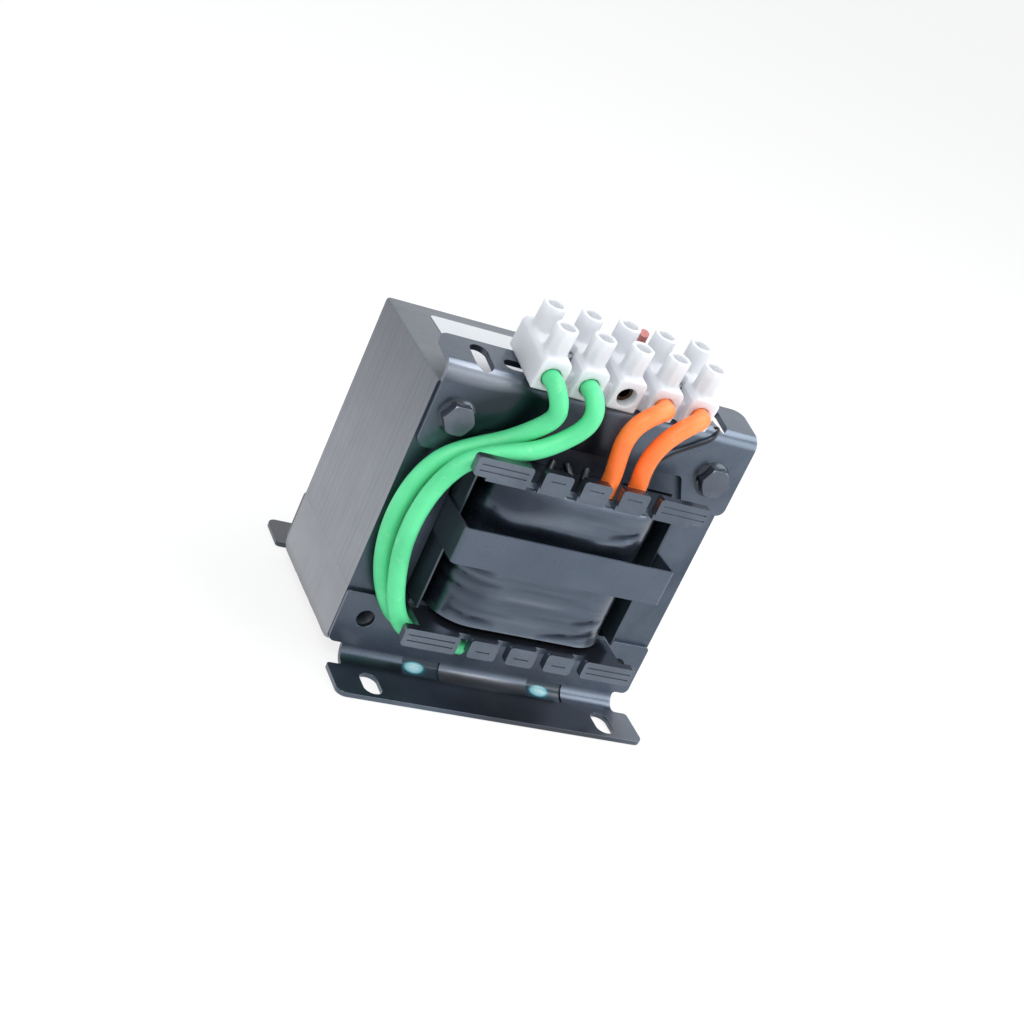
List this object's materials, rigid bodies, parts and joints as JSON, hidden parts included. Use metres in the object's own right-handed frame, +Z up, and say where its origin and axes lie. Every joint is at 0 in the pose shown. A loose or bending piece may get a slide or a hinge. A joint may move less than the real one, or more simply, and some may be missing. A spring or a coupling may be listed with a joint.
{
  "type": "laminated chassis transformer",
  "caption": "Open-frame laminated transformer on four slotted feet, with a screw terminal block on a bracket and short sleeved leads.",
  "frame": {"origin": "on the underside of the feet, under the middle of the laminated core", "axes": "+X to the right along the core's width, seen from the terminal side; +Y from that front side to the back, through the lamination stack; +Z up"},
  "size_m": [0.0849, 0.0778, 0.0974],
  "materials": {
    "lamination_steel": "varnished silicon steel, satin",
    "varnished_sheet": "dip varnish over sheet steel, glossy",
    "varnished_bolts": "dip varnish over zinc-plated steel, glossy",
    "bobbin_plastic": "black glass-filled plastic with varnish",
    "coil_tape": "dark insulating tape soaked in varnish",
    "copper_winding": "enamelled copper wire",
    "liner_board": "varnished insulating board",
    "strap_film": "dark insulating strip",
    "varnish_film": "cured varnish film, clear teal",
    "label_paper": "bare white film label, satin",
    "block_plastic": "milky natural nylon",
    "terminal_brass": "nickel-plated brass",
    "terminal_steel": "zinc-plated steel",
    "green_sleeving": "green silicone sleeving, satin",
    "orange_sleeving": "orange silicone sleeving, satin",
    "wire_dark": "thin varnished wire",
    "tail_sleeving": "red-brown sleeving",
    "varnished_solder": "solder joints under varnish"
  },
  "bodies": {
    "root": {"e_core_stack": "lamination_steel", "i_core_stack": "lamination_steel", "front_foot": "varnished_sheet", "rear_foot": "varnished_sheet", "terminal_bracket": "varnished_sheet", "core_bolts": "varnished_bolts", "core_washers": "varnished_bolts", "core_nuts": "varnished_bolts", "bobbin": "bobbin_plastic", "primary_winding": "copper_winding", "winding_barrier": "coil_tape", "secondary_winding": "copper_winding", "coil_tape_wrap": "coil_tape", "window_liner_left": "liner_board", "window_liner_right": "liner_board", "coil_strap": "strap_film", "varnish_film_left": "varnish_film", "varnish_film_right": "varnish_film", "core_label": "label_paper", "terminal_housing": "block_plastic", "terminal_sleeve_1": "terminal_brass", "terminal_sleeve_2": "terminal_brass", "terminal_sleeve_3": "terminal_brass", "terminal_sleeve_4": "terminal_brass", "terminal_sleeve_5": "terminal_brass", "terminal_screws": "terminal_steel", "block_screws": "terminal_steel", "block_nuts": "terminal_steel", "green_lead_1": "green_sleeving", "green_lead_2": "green_sleeving", "orange_lead_1": "orange_sleeving", "orange_lead_2": "orange_sleeving", "screen_wire": "wire_dark", "red_sleeved_tail": "tail_sleeving", "winding_splices": "varnished_solder"}
  },
  "joints": []
}
